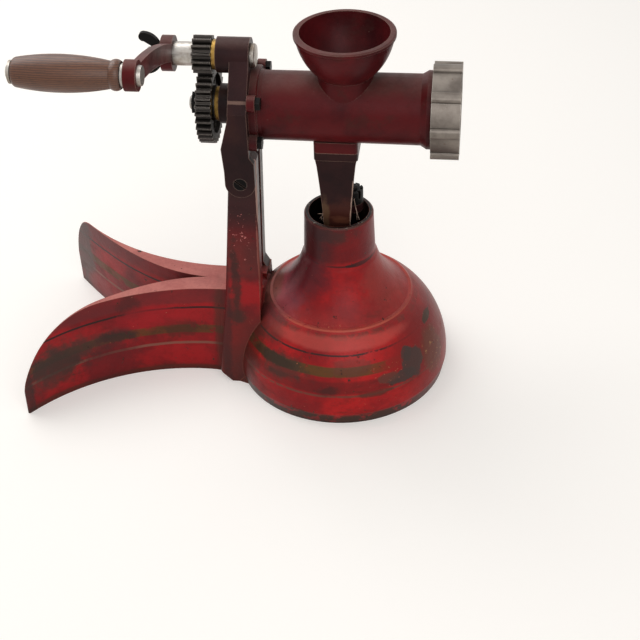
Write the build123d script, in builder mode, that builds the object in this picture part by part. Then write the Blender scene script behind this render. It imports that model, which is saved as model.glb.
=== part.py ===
"""Hand crank meat grinder on a two-legged cast-iron table stand.

Frame: origin on the table under the centre of the bell, +X towards the outlet, -X along the legs,
+Z up. The stand is symmetrical about the plane Y = 0 but for the far leg, whose heel is cast
fuller, and the far upright, which is a little narrower. Lengths in millimetres, angles in degrees.
"""

import os
from math import acos, cos, pi, radians, sin, tan

from build123d import *

# ---------------------------------------------------------------- driving dimensions
# Bell of the stand
bell_foot_r = 97.0
bell_belly_r = 99.5
bell_belly_z = 12.0
bell_bulge = 9.0
shoulder_r = 67.0
shoulder_z = 81.0
shoulder_ledge = 4.0
shoulder_lip = 1.5
cone_sag = 3.0
neck_base_r = 34.5
neck_base_z = 123.0
neck_rim_r = 31.0
neck_top_z = 168.0
neck_root = 10.0
neck_hollow = 0.7
neck_draft = 1.2
neck_wall = 4.0
bell_wall = 6.0
seat_bore_r = 9.0
seat_thick = 7.0
seat_drop = 17.0

# Legs: a fork of two horns on a narrow bridge
leg_top_z = 87.0
leg_reach = 280.0
leg_spread = 102.5
leg_tip_w = 3.2
leg_wall = 5.0
leg_drop = 66.0
leg_far_drop = 28.0
leg_mid_setback = 80.0
leg_outer_y = 38.5
leg_inner_y = 29.5
leg_lean = 6.5
leg_fore_setback = 40.0
leg_fore_y = 61.5
leg_aft_setback = 115.0
leg_aft_y = 10.0
tip_lean = 3.0
crotch_x = -125.0
bridge_x = -112.0
bridge_half_w = 18.5
bridge_foot_half_w = 31.0
bridge_fall = 33.0
upright_pad = 13.0

# Uprights
upright_x = -84.0
upright_w = 27.0
upright_foot_back_x = -107.0
upright_foot_front_x = -70.8
upright_top_back_x = -89.0
upright_top_front_x = -66.0
upright_top_bevel = 6.0
far_front_foot_x = -75.0
far_front_foot_z = 92.0
far_front_slope = 8.5
upright_outer_y = 35.0
upright_thick = 14.0
upright_foot_z = 20.0
upright_drop = 30.0
upright_edge = 2.5
root_top_z = 112.0
root_swell = 10.5
root_foot_y = 46.0
root_slope_x = -110.0
root_slope_z = 11.0

# Head: the barrel and the auger lie on one axis, the crank on another above it
axis_z = 272.0
barrel_bore_r = 25.5
barrel_wall = 4.5
barrel_front_x = 100.0
barrel_thread_r = 33.0
barrel_thread_len = 20.0
barrel_back_wall = 9.0
flange_thick = 7.0
flange_r = 33.5
flange_bolt_r = 37.0
flange_bolt_tilt = 30.0
flange_bolt_d = 6.0
flange_bolt_bite = 10.0
bolt_head_h = 4.0
lug_drop = 6.0
lug_len = 38.0
lug_w = 34.0
lug_screw_d = 5.0
lug_screw_inset = 6.5
lug_screw_head = 3.5
hopper_x = 8.0
hopper_rim_r = 41.0
hopper_h = 70.0
hopper_throat_r = 20.0
hopper_neck = 3.0
hopper_bow = 3.0
hopper_wall = 3.5
hopper_lip = 1.5

# Yoke on the uprights
cheek_thick = 5.5
cheek_x = -79.6
cheek_half_w = 13.0
cheek_screw_drop = 25.5
cheek_screw_d = 6.0
cheek_sink = 3.0
cheek_slot_w = 1.4
cheek_slot_depth = 1.6
cheek_flare = 1.5
yoke_plate = 16.0
yoke_gap = 1.0
yoke_shoulder = 12.0
boss_len = 28.0
auger_boss_r = 17.0
crank_boss_r = 15.0

# Post that stands in the neck
post_foot_w = 20.0
post_waist_w = 23.6
post_w = 33.5
post_plate = 5.0
post_web = 6.0
post_web_x = -4.0
post_flange = 7.5
post_foot = 8.0
post_flare = 6.0
post_front_y = -16.0
stud_x = 12.0
stud_y = 10.0
stud_d = 8.0
stud_head_w = 13.0
stud_head_h = 5.0
stud_end = 3.0
nut_r = 9.0
nut_h = 13.0
nut_slots = 8
nut_slot_w = 2.6
nut_slot_depth = 7.0
post_ear_drop = 4.0
post_ear = 8.0

# Drive
gear_module = 2.0
gear_teeth = 32
pinion_teeth = 14
pressure_angle = 20.0
backlash = 0.24
gear_w = 13.0
pinion_w = 16.0
gear_holes = 5
gear_rim = 4.0
gear_hub = 6.0
gear_web_sink = 3.5
key_w = 4.0
gear_nut_w = 18.0
gear_nut_h = 6.0
gear_washer_r = 11.5
gear_washer = 1.5
shaft_end_r = 6.0
shaft_end_len = 10.0
auger_shaft_r = 9.0
auger_core_r = 10.0
auger_pitch = 29.0
flight_root = 6.0
flight_tip = 3.2
flight_gap = 0.8
bush_wall = 3.0
bush_collar = 3.5
crank_shaft_r = 7.0
crank_collar = 3.0
crank_thread_r = 5.0
crank_thread_len = 13.0
crank_throw = 128.0
crank_turn = 70.0
crank_offset = 16.5
arm_thick = 10.0
arm_end_r = 12.0
arm_hub_r = 15.0
arm_w = 15.0
arm_bow = 5.0
wing_hub_r = 9.0
wing_hub_h = 9.0
wing_reach = 19.0
wing_thick = 3.6
grip_len = 84.0
grip_r = 14.5
grip_end_r = 10.5
grip_gap = 3.0
spindle_r = 5.0
spindle_collar = 4.0

# Cutter at the outlet
plate_thick = 6.0
plate_seat = 1.5
plate_hole_d = 6.0
plate_hole_step = 9.6
plate_pin_d = 3.0
tang_w = 10.0
tang_len = 6.0
nose_r = 4.0
knife_thick = 5.5
knife_blades = 4
ring_wall = 5.0
ring_len = 24.0
ring_lip = 3.0
ring_lip_thick = 4.5
ring_lugs = 8
ring_lug_w = 7.0
ring_lug_len = 3.0
ring_edge = 0.8

# Clearances
run_gap = 0.05
slip_gap = 0.1
face_gap = 0.3

# ---------------------------------------------------------------- worked-out places
barrel_r = barrel_bore_r + barrel_wall
crank_z = axis_z + gear_module * (gear_teeth + pinion_teeth) / 2
hopper_rim_z = axis_z + hopper_h
upright_top_z = axis_z - upright_drop
cheek_screw_z = upright_top_z - cheek_screw_drop
yoke_shoulder_z = axis_z + yoke_shoulder
yoke_front_x = upright_x + upright_w / 2
yoke_back_x = yoke_front_x - yoke_plate
boss_back_x = yoke_front_x - boss_len
upright_inner_y = upright_outer_y - upright_thick
cheek_inner_y = upright_outer_y + slip_gap
cheek_outer_y = cheek_inner_y + cheek_thick
gear_x = boss_back_x - bush_collar - face_gap
gear_back_x = gear_x - gear_w
pinion_back_x = gear_x - pinion_w
arm_x = pinion_back_x - crank_offset
arm_back_x = arm_x - arm_thick
plate_x = barrel_front_x - plate_thick
plate_r = barrel_bore_r + plate_seat
knife_x = plate_x - face_gap - knife_thick
lug_z = axis_z - barrel_r - lug_drop
seat_z = neck_base_z - seat_drop
post_ear_z = neck_top_z - post_ear_drop
lug_screw_spots = [(s * (lug_len / 2 - lug_screw_inset), lug_w / 2 - 8) for s in (-1, 1)]
neck_bore_r = neck_rim_r - neck_wall
bolt_reach = flange_bolt_r * cos(radians(flange_bolt_tilt))
bolt_rise = flange_bolt_r * sin(radians(flange_bolt_tilt))
bolt_spots = [(side * bolt_reach, up * bolt_rise) for side in (-1, 1) for up in (-1, 1)]
auger_axis = Axis((0, 0, axis_z), (1, 0, 0))
crank_axis = Axis((0, 0, crank_z), (1, 0, 0))

os.makedirs("parts", exist_ok=True)


def save(piece, name):
    """Label one finished sub-part and write its STEP file."""
    piece.part.label = name
    export_step(piece.part, f"parts/{name}.step")


def facing_back(x, z, turn=0.0):
    """A plane square to the head's axes that faces -X, its local X up and turned towards -Y."""
    a = radians(turn)
    return Plane(origin=(x, 0, z), x_dir=(0, -sin(a), cos(a)), z_dir=(-1, 0, 0))


def facing_front(x, z):
    """A plane square to the head's axes that faces +X, its local X pointing up."""
    return Plane(origin=(x, 0, z), x_dir=(0, 0, 1), z_dir=(1, 0, 0))


def side_plane(y):
    """The plane Y = y, local X along +X and local Y up, facing -Y."""
    return Plane.XZ.offset(-y)


# ---------------------------------------------------------------- stand
leg_root_x = -shoulder_r + 17
# The leg's bends are measured back from its tip
leg_fore_x = -leg_reach + leg_fore_setback
leg_mid_x = -leg_reach + leg_mid_setback
leg_aft_x = -leg_reach + leg_aft_setback
tip = Vector(-leg_reach, leg_spread)
tip_along = Vector(-leg_reach - leg_mid_x, leg_spread - leg_outer_y + 6).normalized()
tip_across = Vector(tip_along.Y, -tip_along.X) * (leg_tip_w / 2)


def leg_outline(height, root_w, mid_lean, end_lean):
    """Half of the fork's outline at a height, its outer face leaning outwards."""
    end = tip + Vector(0, end_lean)
    with BuildSketch(Plane.XY.offset(height)) as outline:
        with BuildLine():
            root = Line((leg_root_x, root_w), (bridge_x, root_w))
            outer = ThreePointArc(root @ 1, (leg_mid_x, leg_outer_y + mid_lean), end + tip_across)
            nose = ThreePointArc(outer @ 1, end + tip_along * (leg_tip_w / 2), end - tip_across)
            inner = Spline(
                nose @ 1,
                (leg_fore_x, leg_fore_y),
                (leg_mid_x, leg_inner_y),
                (leg_aft_x, leg_aft_y),
                (crotch_x, 0),
            )
            Polyline(inner @ 1, (leg_root_x, 0), root @ 0)
        make_face()
    return outline.sketch


def fork_side(drop):
    """Side view of the fork: a rounded heel, a level top and a fall towards the bell."""
    fall_x = upright_x + upright_w / 2 - 6
    back_x = -leg_reach - leg_tip_w
    with BuildSketch(Plane.XZ) as side:
        with BuildLine():
            top = Polyline(
                (leg_root_x, 0),
                (leg_root_x, leg_top_z - bridge_fall),
                (fall_x, leg_top_z),
                (back_x + drop, leg_top_z),
            )
            heel = Bezier(
                top @ 1,
                (back_x + drop * 0.33, leg_top_z),
                (back_x, leg_top_z * 0.57),
                (back_x, 0),
            )
            Line(heel @ 1, top @ 0)
        make_face()
    return side.sketch


with BuildPart() as legs:
    add(leg_outline(0, bridge_foot_half_w, leg_lean, tip_lean))
    add(leg_outline(leg_top_z, bridge_half_w, 0, 0))
    loft(ruled=True)
    mirror(about=Plane.XZ)

with BuildPart() as leg_hollow:
    with BuildSketch():
        with BuildLine():
            pocket_y = bridge_half_w - leg_wall
            Polyline(
                (upright_x, 0),
                (upright_x, pocket_y),
                (bridge_x, pocket_y),
                ((leg_aft_x + crotch_x) / 2 - 10, leg_aft_y + leg_wall),
                (crotch_x + 1.5 * leg_wall, 0),
                close=True,
            )
        make_face()
        mirror(about=Plane.XZ)
    extrude(amount=leg_top_z - leg_wall)

# The bridge widens downwards into the foot of the uprights
with BuildPart() as bridge_root:
    pad_x = upright_x - upright_w / 2
    bridge_xs = (bridge_x - 6, bridge_x + 3, pad_x, upright_x, leg_root_x + 5)
    top_ys = (bridge_half_w - 0.5,) * 5
    pad_y = bridge_foot_half_w + upright_pad
    foot_ys = (bridge_foot_half_w - 0.5, bridge_foot_half_w + 1, pad_y, pad_y + 5, pad_y + 8)
    for height, ys in ((0, foot_ys), (leg_top_z - 0.5, top_ys)):
        with BuildSketch(Plane.XY.offset(height)):
            with BuildLine():
                Polyline((bridge_xs[0], 0), *zip(bridge_xs, ys), (bridge_xs[-1], 0), close=True)
            make_face()
    loft()
    mirror(about=Plane.XZ)

bell_top = (shoulder_r, shoulder_z)
chord = Vector(bell_belly_r - shoulder_r, bell_belly_z - shoulder_z).normalized()
flank_mid = Vector((bell_belly_r + shoulder_r) / 2, (bell_belly_z + shoulder_z) / 2)
flank_mid = flank_mid + Vector(-chord.Y, chord.X) * bell_bulge
cone_foot = (shoulder_r - shoulder_ledge, shoulder_z + shoulder_lip)
cone_mid = ((cone_foot[0] + neck_base_r) / 2 - cone_sag, (cone_foot[1] + neck_base_z) / 2 - cone_sag)

with BuildPart() as bell_form:
    with BuildSketch(Plane.XZ):
        with BuildLine():
            foot = Polyline((0, 0), (bell_foot_r, 0), (bell_belly_r, bell_belly_z))
            flank = ThreePointArc(foot @ 1, flank_mid, bell_top)
            ledge = Polyline(flank @ 1, (shoulder_r - shoulder_lip, shoulder_z + shoulder_lip), cone_foot)
            cone = ThreePointArc(ledge @ 1, cone_mid, (neck_base_r, neck_base_z))
            neck_foot_r = neck_rim_r + neck_draft
            neck_mid = ((neck_base_r + neck_foot_r) / 2 - neck_hollow, neck_base_z + neck_root * 0.45)
            root_arc = ThreePointArc(cone @ 1, neck_mid, (neck_foot_r, neck_base_z + neck_root))
            neck = Polyline(
                root_arc @ 1,
                (neck_rim_r, neck_top_z - shoulder_lip),
                (neck_rim_r - shoulder_lip, neck_top_z),
                (0, neck_top_z),
            )
            Line(neck @ 1, foot @ 0)
        make_face()
    revolve(axis=Axis.Z)

# The fork, its root and the uprights are cast against the outside of the bell
with BuildPart() as leg_fork:
    add(legs.part)
    add(bridge_root.part)
    heels = extrude(fork_side(leg_drop), amount=leg_spread * 1.2, mode=Mode.PRIVATE)
    far_heel = extrude(fork_side(leg_far_drop), amount=-leg_spread * 1.2, mode=Mode.PRIVATE)
    add(heels + far_heel, mode=Mode.INTERSECT)
    add(leg_hollow.part, mode=Mode.SUBTRACT)
    add(bell_form.part, mode=Mode.SUBTRACT)
save(leg_fork, "leg_fork")

def upright_edge_x(foot_x, top_x, height):
    """Where an edge of an upright is in side view, at a height."""
    low = upright_foot_z + upright_w / 2
    return foot_x + (top_x - foot_x) * (height - low) / (upright_top_z - low)


# Root of the near upright: it swells outwards and widens down to the table
with BuildPart() as upright_root:
    with BuildSketch(Plane.YZ.offset(upright_x)):
        with BuildLine():
            swell = Bezier(
                (-upright_outer_y + 0.2, root_top_z),
                (-upright_outer_y + 0.2, root_top_z * 0.7),
                (-upright_outer_y - root_swell, root_top_z * 0.54),
                (-root_foot_y, 0),
            )
            Polyline(swell @ 1, (-upright_inner_y, 0), (-upright_inner_y, root_top_z), swell @ 0)
        make_face()
    extrude(amount=upright_w, both=True)
    with BuildSketch(side_plane(0)):
        with BuildLine():
            Polyline(
                (upright_edge_x(upright_foot_back_x, upright_top_back_x, root_top_z) + 0.6, root_top_z),
                (root_slope_x - 1, 0),
                (upright_foot_front_x, 0),
                (upright_edge_x(upright_foot_front_x, upright_top_front_x, root_top_z) - 0.6, root_top_z),
                close=True,
            )
        make_face()
    extrude(amount=root_foot_y + root_swell, both=True, mode=Mode.INTERSECT)
    swell_face = upright_root.faces().sort_by(Axis.Y)[0]
    fillet(swell_face.edges().filter_by(lambda e: e.length > upright_w * 2), upright_edge)
    # The underside slopes up from the table to the leg
    with BuildSketch(side_plane(0)):
        with BuildLine():
            Polyline(
                (root_slope_x, root_slope_z),
                (root_slope_x + root_slope_z, 0),
                (root_slope_x - root_slope_z, 0),
                (root_slope_x - root_slope_z, root_slope_z),
                close=True,
            )
        make_face()
    extrude(amount=root_foot_y + root_swell, both=True, mode=Mode.SUBTRACT)

# The front edge of the far upright stands further back than the near one's
with BuildPart() as far_setback:
    with BuildSketch(side_plane(upright_inner_y)):
        with BuildLine():
            Polyline(
                (far_front_foot_x, far_front_foot_z),
                (far_front_foot_x + 4, far_front_foot_z - far_front_slope),
                (upright_top_front_x + 5, far_front_foot_z - far_front_slope),
                (upright_top_front_x + 5, upright_top_z + yoke_gap),
                (yoke_front_x - 0.5, upright_top_z + yoke_gap),
                close=True,
            )
        make_face()
    extrude(amount=-(root_foot_y + root_swell - upright_inner_y))

with BuildPart() as uprights:
    with BuildSketch(side_plane(-upright_inner_y)):
        with BuildLine():
            half = upright_w / 2
            low = upright_foot_z + half
            round_foot = ThreePointArc(
                (upright_foot_back_x, low),
                ((upright_foot_back_x + upright_foot_front_x) / 2, upright_foot_z),
                (upright_foot_front_x, low),
            )
            Polyline(
                round_foot @ 1,
                (upright_top_front_x, upright_top_z - upright_top_bevel),
                (yoke_front_x, upright_top_z),
                (upright_top_back_x, upright_top_z),
                round_foot @ 0,
            )
        make_face()
    extrude(amount=upright_thick)
    outer_face = uprights.faces().sort_by(Axis.Y)[0]
    fillet(outer_face.edges().filter_by(lambda e: e.length > low), upright_edge)
    add(upright_root.part)
    with BuildSketch(side_plane(-bridge_half_w / 2)):
        with Locations((upright_x, low)):
            Circle(half)
        with Locations((upright_x, (low + leg_top_z) / 2)):
            Rectangle(upright_w, leg_top_z - low)
    extrude(amount=upright_inner_y + 1 - bridge_half_w / 2)
    mirror(about=Plane.XZ)
    add(far_setback.part, mode=Mode.SUBTRACT)
    add(bell_form.part, mode=Mode.SUBTRACT)
    add(leg_fork.part, mode=Mode.SUBTRACT)
    add(leg_hollow.part, mode=Mode.SUBTRACT)
    # Screw holes of the cheeks
    with BuildSketch(Plane.XZ):
        with Locations((cheek_x, cheek_screw_z)):
            Circle(cheek_screw_d / 2 + run_gap)
    extrude(amount=upright_outer_y + 5, both=True, mode=Mode.SUBTRACT)
save(uprights, "uprights")

with BuildPart() as bell:
    add(bell_form.part)
    # Hollow, open at the table
    with BuildSketch(Plane.XZ):
        with BuildLine():
            in_belly_r = bell_belly_r - bell_wall
            in_foot = Polyline((0, 0), (bell_foot_r - bell_wall, 0), (in_belly_r, bell_belly_z))
            in_mid = flank_mid - Vector(bell_wall, bell_wall * 0.6)
            in_top = (shoulder_r - bell_wall, shoulder_z - bell_wall)
            in_flank = ThreePointArc(in_foot @ 1, in_mid, in_top)
            roof_z = seat_z - seat_thick
            Polyline(in_flank @ 1, (neck_base_r + 2, roof_z), (0, roof_z), in_foot @ 0)
        make_face()
    revolve(axis=Axis.Z, mode=Mode.SUBTRACT)
    # Neck bore, the seat at its bottom and the hole for the stud
    with BuildSketch(Plane.XY.offset(seat_z)):
        Circle(neck_bore_r)
    extrude(amount=neck_top_z, mode=Mode.SUBTRACT)
    with BuildSketch(Plane.XY.offset(seat_z)):
        Circle(seat_bore_r)
        with Locations((stud_x, stud_y)):
            Circle(stud_d / 2 + slip_gap)
    extrude(amount=-seat_thick - 1, mode=Mode.SUBTRACT)
save(bell, "bell")

# ---------------------------------------------------------------- post in the neck
with BuildPart() as centre_post:
    with BuildSketch(Plane.XY.offset(seat_z)):
        Circle(neck_bore_r - face_gap)
    extrude(amount=post_foot)
    # Front plate, wider towards the top
    with BuildSketch(side_plane(post_front_y + post_plate)):
        with BuildLine():
            flange_z = lug_z - post_flange
            flare_z = flange_z - post_flare
            waist_z = (seat_z + flare_z) / 2
            left = ThreePointArc(
                (-post_foot_w / 2, seat_z), (-post_waist_w / 2, waist_z), (-post_w / 2, flare_z)
            )
            across = Polyline(
                left @ 1,
                (-lug_len / 2 + 1, flange_z + 1),
                (lug_len / 2 - 1, flange_z + 1),
                (post_w / 2, flare_z),
            )
            right = ThreePointArc(
                across @ 1, (post_waist_w / 2, waist_z), (post_foot_w / 2, seat_z)
            )
            Line(right @ 1, left @ 0)
        make_face()
    extrude(amount=post_plate)
    # Web behind the plate
    web_back_y = post_front_y + lug_w - post_plate
    with BuildSketch(side_plane(web_back_y)):
        with Locations((post_web_x, (seat_z + lug_z) / 2 - post_flange / 4)):
            Rectangle(post_web, lug_z - seat_z - post_flange)
    extrude(amount=web_back_y - post_front_y - post_plate / 2)
    with BuildSketch(Plane.XY.offset(lug_z)):
        RectangleRounded(lug_len, lug_w, 4)
    extrude(amount=-post_flange)
    # Ear for the hold-down stud
    with BuildSketch(Plane.XY.offset(post_ear_z)):
        with Locations((stud_x, stud_y)):
            Circle(nut_r)
        with Locations((stud_x / 2 - 3, stud_y)):
            Rectangle(stud_x + 2, nut_r * 1.6)
    extrude(amount=post_ear)
    with BuildSketch(Plane.XY.offset(seat_z)):
        with Locations((stud_x, stud_y)):
            Circle(stud_d / 2 + slip_gap)
    extrude(amount=post_ear_z + post_ear - seat_z + 1, mode=Mode.SUBTRACT)
    with BuildSketch(Plane.XY.offset(lug_z)):
        with Locations(*lug_screw_spots):
            Circle(lug_screw_d / 2 + slip_gap)
    extrude(amount=-post_flange - 1, mode=Mode.SUBTRACT)
save(centre_post, "centre_post")

with BuildPart() as post_stud:
    with BuildSketch(Plane.XY.offset(seat_z - seat_thick)):
        with Locations((stud_x, stud_y)):
            RegularPolygon(stud_head_w / 2, 6, major_radius=False)
    extrude(amount=-stud_head_h)
    with BuildSketch(Plane.XY.offset(seat_z - seat_thick)):
        with Locations((stud_x, stud_y)):
            Circle(stud_d / 2)
    extrude(amount=post_ear_z + post_ear + nut_h + stud_end - seat_z + seat_thick)
    chamfer(post_stud.faces().sort_by(Axis.Z)[-1].edges(), 1)
save(post_stud, "post_stud")

with BuildPart() as post_nut:
    with BuildSketch(Plane.XY.offset(post_ear_z + post_ear)):
        with Locations((stud_x, stud_y)):
            Circle(nut_r)
            Circle(stud_d / 2 + run_gap, mode=Mode.SUBTRACT)
    extrude(amount=nut_h)
    # Castle slots round the top half
    with BuildSketch(Plane.XY.offset(post_ear_z + post_ear + nut_h)):
        with Locations((stud_x, stud_y)):
            with PolarLocations(nut_r, nut_slots):
                Rectangle(nut_r * 0.6, nut_slot_w)
    extrude(amount=-nut_slot_depth, mode=Mode.SUBTRACT)
save(post_nut, "post_nut")

with BuildPart() as post_screws:
    with BuildSketch(Plane.XY.offset(lug_z - post_flange)):
        with Locations(*lug_screw_spots):
            RegularPolygon(lug_screw_d * 0.8, 6, major_radius=False)
    extrude(amount=-lug_screw_head)
    with BuildSketch(Plane.XY.offset(lug_z - post_flange)):
        with Locations(*lug_screw_spots):
            Circle(lug_screw_d / 2)
    extrude(amount=post_flange + lug_drop - 2)
save(post_screws, "post_screws")

# ---------------------------------------------------------------- yoke
with BuildPart() as gear_yoke:
    arch_z = upright_top_z + yoke_gap
    with BuildSketch(facing_front(yoke_back_x, 0)):
        # Local X is up, local Y is towards -Y
        with BuildLine():
            Polyline(
                (arch_z, -cheek_outer_y),
                (yoke_shoulder_z, -cheek_outer_y),
                (crank_z + 3, -crank_boss_r + 1),
                (crank_z + 3, crank_boss_r - 1),
                (yoke_shoulder_z, cheek_outer_y),
                (arch_z, cheek_outer_y),
                close=True,
            )
        make_face()
        with Locations((crank_z, 0)):
            Circle(crank_boss_r)
    extrude(amount=yoke_plate)
    for boss_r, boss_z in ((auger_boss_r, axis_z), (crank_boss_r, crank_z)):
        with BuildSketch(facing_front(boss_back_x, boss_z)):
            Circle(boss_r)
        extrude(amount=boss_len)
    # Cheeks over the outer faces of the uprights
    for side in (-1, 1):
        start = -cheek_outer_y if side < 0 else cheek_inner_y
        with BuildSketch(side_plane(start + cheek_thick)):
            with BuildLine():
                cheek_back_x = cheek_x - cheek_half_w
                cheek_front_x = cheek_x + cheek_half_w
                ends = ThreePointArc(
                    (cheek_back_x, cheek_screw_z),
                    (cheek_x, cheek_screw_z - cheek_half_w),
                    (cheek_front_x, cheek_screw_z),
                )
                Polyline(
                    ends @ 1,
                    (cheek_front_x, arch_z - upright_top_bevel),
                    (yoke_front_x, arch_z),
                    (yoke_front_x, yoke_shoulder_z - 14),
                    (yoke_back_x, yoke_shoulder_z - 4),
                    (cheek_back_x - cheek_flare, arch_z + 8),
                    (cheek_back_x, cheek_screw_z + 12),
                    ends @ 0,
                )
            make_face()
        extrude(amount=cheek_thick)
    add(far_setback.part, mode=Mode.SUBTRACT)
    for hole_r, hole_z in (
        (auger_shaft_r + run_gap + bush_wall, axis_z),
        (crank_shaft_r + run_gap + bush_wall, crank_z),
    ):
        with BuildSketch(facing_front(boss_back_x - 1, hole_z)):
            Circle(hole_r)
        extrude(amount=boss_len + 2, mode=Mode.SUBTRACT)
    with BuildSketch(facing_front(yoke_back_x, axis_z)):
        for spot_y, spot_z in bolt_spots:
            with Locations((spot_z, -spot_y)):
                Circle(flange_bolt_d / 2 + slip_gap)
    extrude(amount=yoke_plate, mode=Mode.SUBTRACT)
    # Countersunk screw holes in the cheeks
    for side in (-1, 1):
        with BuildSketch(side_plane(side * cheek_outer_y)):
            with Locations((cheek_x, cheek_screw_z)):
                Circle(cheek_screw_d + slip_gap)
        extrude(amount=side * cheek_sink, taper=45, mode=Mode.SUBTRACT)
        with BuildSketch(side_plane(side * cheek_outer_y)):
            with Locations((cheek_x, cheek_screw_z)):
                Circle(cheek_screw_d / 2 + run_gap)
        extrude(amount=side * cheek_thick, mode=Mode.SUBTRACT)
save(gear_yoke, "gear_yoke")

with BuildPart() as cheek_screws:
    for side in (-1, 1):
        with BuildSketch(side_plane(side * cheek_outer_y)):
            with Locations((cheek_x, cheek_screw_z)):
                Circle(cheek_screw_d)
        extrude(amount=side * cheek_sink, taper=45)
        with BuildSketch(side_plane(side * cheek_outer_y)):
            with Locations((cheek_x, cheek_screw_z)):
                Circle(cheek_screw_d / 2)
        extrude(amount=side * (cheek_thick + upright_thick - 1))
        with BuildSketch(side_plane(side * cheek_outer_y)):
            with Locations(Location((cheek_x, cheek_screw_z), -40)):
                Rectangle(2 * cheek_screw_d + 1, cheek_slot_w)
        extrude(amount=side * cheek_slot_depth, mode=Mode.SUBTRACT)
save(cheek_screws, "cheek_screws")

# ---------------------------------------------------------------- barrel and hopper
with BuildPart() as barrel:
    body_x = yoke_front_x + flange_thick
    thread_x = barrel_front_x - barrel_thread_len
    with BuildSketch(Plane.XZ):
        with BuildLine():
            Polyline(
                (yoke_front_x, axis_z),
                (yoke_front_x, axis_z + flange_r),
                (body_x - 1, axis_z + flange_r),
                (body_x, axis_z + flange_r - 1),
                (body_x, axis_z + barrel_r + 0.6),
                (body_x + 3, axis_z + barrel_r - 0.6),
                (thread_x - 8, axis_z + barrel_r),
                (thread_x - 3, axis_z + barrel_thread_r),
                (barrel_front_x - 1, axis_z + barrel_thread_r),
                (barrel_front_x, axis_z + barrel_thread_r - 1),
                (barrel_front_x, axis_z),
                close=True,
            )
        make_face()
    revolve(axis=auger_axis)
    with BuildSketch(facing_front(yoke_front_x, axis_z)):
        for spot_y, spot_z in bolt_spots:
            with Locations((spot_z, -spot_y)):
                Circle(flange_bolt_d + 1)
    extrude(amount=flange_thick)
    # Lug over the post
    with BuildSketch(Plane.XY.offset(lug_z)):
        RectangleRounded(lug_len, lug_w, 4)
    extrude(amount=axis_z - lug_z - barrel_bore_r)
    # Hopper: throat, bowl and rolled rim
    with BuildSketch(Plane.XZ):
        with BuildLine():
            throat_top = axis_z + barrel_r + hopper_neck
            outer_r = hopper_throat_r + hopper_wall
            rim_x = hopper_x + hopper_rim_r
            bow_x = hopper_x + (outer_r + hopper_rim_r) / 2 + hopper_bow
            bow_z = (throat_top + hopper_rim_z) / 2 - hopper_bow
            Polyline(
                (hopper_x, axis_z + barrel_bore_r / 2),
                (hopper_x + outer_r + 1, axis_z + barrel_bore_r / 2),
                (hopper_x + outer_r, throat_top),
            )
            bowl = ThreePointArc(
                (hopper_x + outer_r, throat_top),
                (bow_x, bow_z),
                (rim_x, hopper_rim_z - 3 * hopper_lip),
            )
            Polyline(
                bowl @ 1,
                (rim_x + hopper_lip, hopper_rim_z - 2 * hopper_lip),
                (rim_x + hopper_lip, hopper_rim_z - hopper_lip / 2),
                (rim_x, hopper_rim_z),
                (hopper_x, hopper_rim_z),
                (hopper_x, axis_z + barrel_bore_r / 2),
            )
        make_face()
    revolve(axis=Axis((hopper_x, 0, 0), (0, 0, 1)))
    # Inside of the hopper
    with BuildSketch(Plane.XZ):
        with BuildLine():
            in_bowl = ThreePointArc(
                (hopper_x + hopper_throat_r, throat_top + 1),
                (bow_x - hopper_wall, bow_z + hopper_wall / 2),
                (rim_x - hopper_wall, hopper_rim_z),
            )
            Polyline(
                in_bowl @ 1,
                (hopper_x, hopper_rim_z),
                (hopper_x, axis_z),
                (hopper_x + hopper_throat_r, axis_z),
                in_bowl @ 0,
            )
        make_face()
    revolve(axis=Axis((hopper_x, 0, 0), (0, 0, 1)), mode=Mode.SUBTRACT)
    # Bore, seat of the plate and shaft hole
    with BuildSketch(facing_front(yoke_front_x + barrel_back_wall, axis_z)):
        Circle(barrel_bore_r)
    extrude(amount=barrel_front_x - yoke_front_x, mode=Mode.SUBTRACT)
    with BuildSketch(facing_front(plate_x, axis_z)):
        Circle(plate_r + slip_gap)
        with Locations((-plate_r, 0)):
            Circle(plate_pin_d / 2 + run_gap)
    extrude(amount=plate_thick + 1, mode=Mode.SUBTRACT)
    with BuildSketch(facing_front(yoke_front_x - 1, axis_z)):
        Circle(auger_shaft_r + 2 * face_gap)
    extrude(amount=barrel_back_wall + 2, mode=Mode.SUBTRACT)
    with BuildSketch(facing_front(yoke_front_x - 1, axis_z)):
        for spot_y, spot_z in bolt_spots:
            with Locations((spot_z, -spot_y)):
                Circle(flange_bolt_d / 2 + slip_gap)
    extrude(amount=flange_thick + 2, mode=Mode.SUBTRACT)
    with BuildSketch(Plane.XY.offset(lug_z)):
        with Locations(*lug_screw_spots):
            Circle(lug_screw_d / 2 + slip_gap)
    extrude(amount=lug_drop - 1, mode=Mode.SUBTRACT)
save(barrel, "barrel")

with BuildPart() as flange_bolts:
    with BuildSketch(facing_front(yoke_front_x + flange_thick, axis_z)):
        for spot_y, spot_z in bolt_spots:
            with Locations((spot_z, -spot_y)):
                RegularPolygon(flange_bolt_d * 0.85, 6, major_radius=False)
    extrude(amount=bolt_head_h)
    with BuildSketch(facing_front(yoke_front_x + flange_thick, axis_z)):
        for spot_y, spot_z in bolt_spots:
            with Locations((spot_z, -spot_y)):
                Circle(flange_bolt_d / 2)
    extrude(amount=-flange_thick - flange_bolt_bite)
save(flange_bolts, "flange_bolts")

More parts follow.
